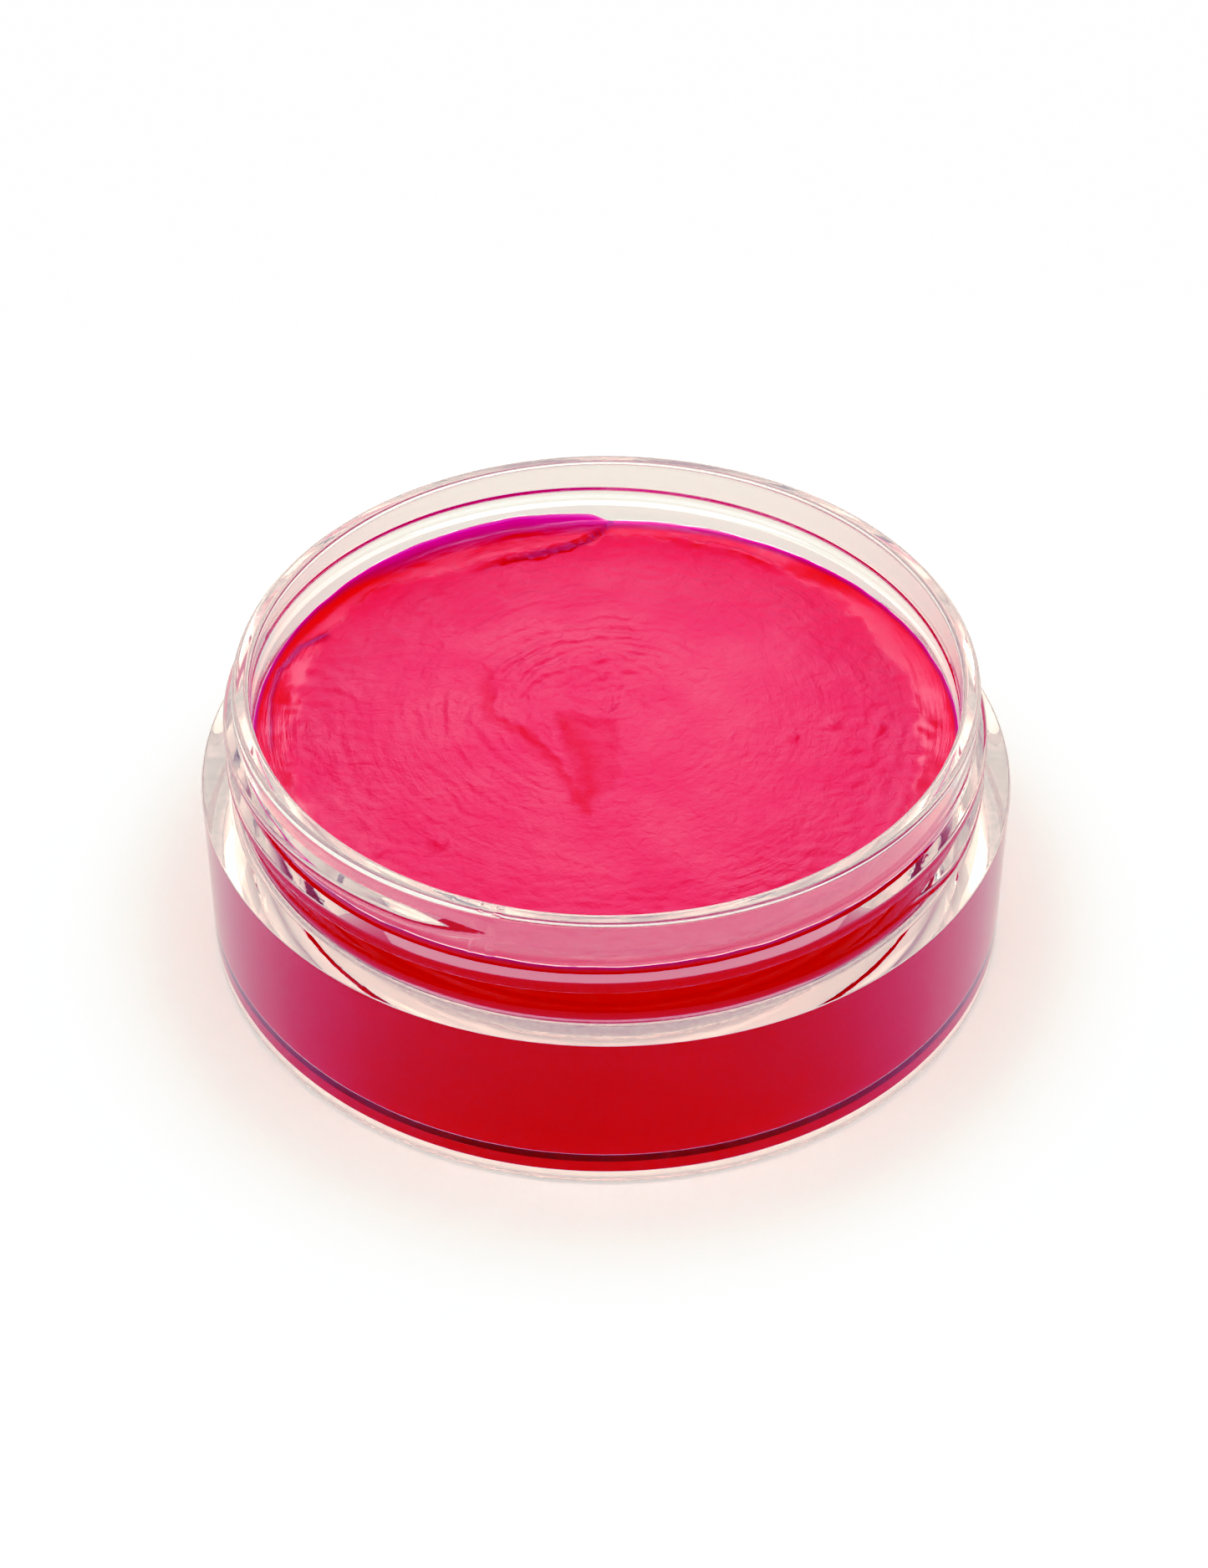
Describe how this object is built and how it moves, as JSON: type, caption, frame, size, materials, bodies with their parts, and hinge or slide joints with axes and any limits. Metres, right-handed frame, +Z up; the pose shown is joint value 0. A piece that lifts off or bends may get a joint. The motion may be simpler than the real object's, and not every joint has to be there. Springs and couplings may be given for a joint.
{
  "type": "paint jar",
  "caption": "Shallow clear thick-wall screw-neck plastic jar, open, filled into its neck with thick red paint.",
  "frame": {"origin": "centre of the foot, on the surface that the jar stands on", "axes": "+Z up along the jar's axis, -Y towards the front"},
  "size_m": [0.075, 0.075, 0.0278],
  "materials": {
    "clear_plastic": "clear moulded plastic, polished, slightly scuffed",
    "red_paint": "thick wet paint, satin, with soft stirring marks"
  },
  "bodies": {
    "root": {"jar": "clear_plastic", "paint": "red_paint"}
  },
  "joints": []
}
